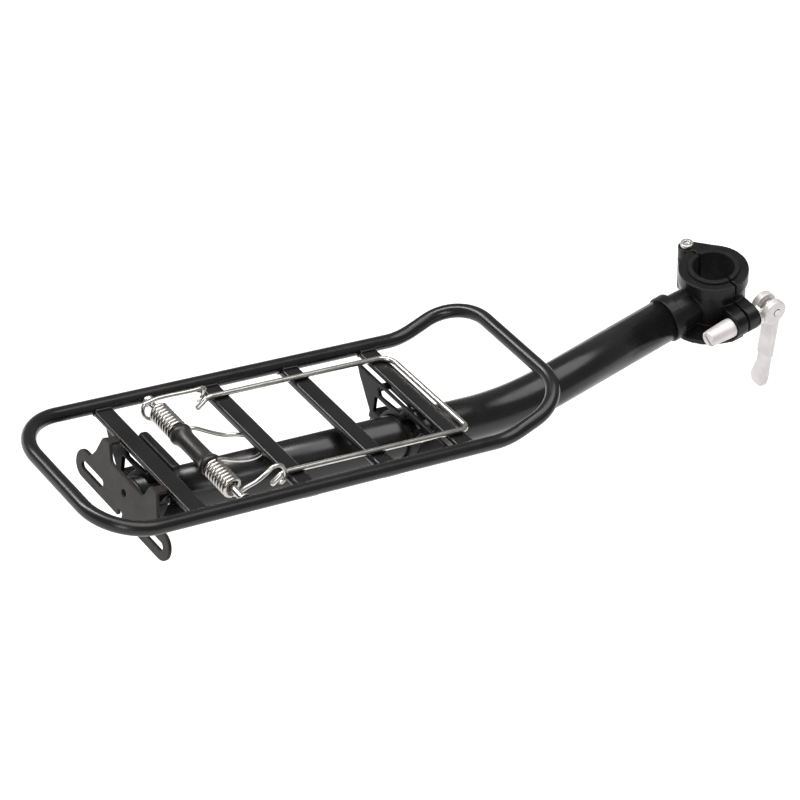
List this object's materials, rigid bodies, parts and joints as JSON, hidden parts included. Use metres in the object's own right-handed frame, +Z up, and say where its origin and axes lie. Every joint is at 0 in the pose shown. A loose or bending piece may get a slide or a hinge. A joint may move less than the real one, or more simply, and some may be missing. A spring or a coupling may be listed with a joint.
{
  "type": "rear rack",
  "caption": "Cantilever rear rack for a bicycle seatpost: slatted platform loop on a bent beam, sprung wire bail, light plate and a hinged quick-release clamp.",
  "frame": {"origin": "centre of the seatpost clamp's bore, on its axis, halfway up the collar", "axes": "+X forward along the level platform, from its rear rail towards the seatpost; +Y to the bicycle's left; +Z up, square to the platform"},
  "size_m": [0.5888, 0.1348, 0.111],
  "materials": {
    "black_paint": "satin black powder coat",
    "bright_steel": "bright zinc-plated",
    "pale_aluminium": "satin silver",
    "black_plastic": "satin black moulded plastic",
    "black_rubber": "matte black rubber"
  },
  "bodies": {
    "rack": {"platform_loop": "black_paint", "rear_crossbar": "black_paint", "crossbar_2": "black_paint", "crossbar_3": "black_paint", "front_crossbar": "black_paint", "tail_light_plate": "black_paint", "rear_bracket": "black_paint", "front_bracket": "black_paint", "rear_strap": "black_paint", "front_strap": "black_paint", "rear_pinch_bolt": "bright_steel", "front_pinch_bolt": "bright_steel", "rear_strap_screw": "bright_steel", "front_strap_screw": "bright_steel", "beam_tube": "black_paint", "beam_end_plug": "black_plastic", "spring_rod": "bright_steel", "spring_sleeve": "black_plastic", "left_spring_coil": "bright_steel", "right_spring_coil": "bright_steel", "reaction_loop": "bright_steel", "clamp_body": "black_paint", "rear_shim": "black_rubber", "hinge_bolt": "bright_steel", "hinge_nut": "bright_steel", "skewer": "bright_steel"},
    "clip": {"bail": "bright_steel", "left_spring_arm": "bright_steel", "right_spring_arm": "bright_steel"},
    "jaw": {"clamp_jaw": "black_paint", "front_shim": "black_rubber", "cam_washer": "bright_steel"},
    "lever": {"cam_lever": "pale_aluminium", "lever_pin": "bright_steel"},
    "nut": {"barrel_nut": "pale_aluminium"}
  },
  "joints": [
    {"name": "bail_hinge", "type": "hinge", "parent": "rack", "child": "clip", "pos_m": [-0.4374, 0, -0.0365], "axis": [0, -1, 0], "range_deg": [0, 75], "stiffness_Nm_per_rad": 0.6, "springref_deg": -28.65, "deforming": ["left_spring_coil", "right_spring_coil"]},
    {"name": "cam_lever_hinge", "type": "hinge", "parent": "rack", "child": "lever", "pos_m": [0.02625, -0.0334, -0.00034], "axis": [0, -1, 0], "range_deg": [0, 160]},
    {"name": "jaw_hinge", "type": "hinge", "parent": "rack", "child": "jaw", "pos_m": [0, 0.03, 0], "axis": [-0.2924, 0, 0.9563], "range_deg": [0, 1.6]},
    {"name": "nut_spin", "type": "hinge", "parent": "rack", "child": "nut", "pos_m": [-0.01679, -0.0334, -0.0135], "axis": [0.9563, 0, 0.2924], "continuous": true}
  ],
  "couplings": [
    {"joint": "jaw_hinge", "follows": "cam_lever_hinge", "ratio": 0.01}
  ]
}
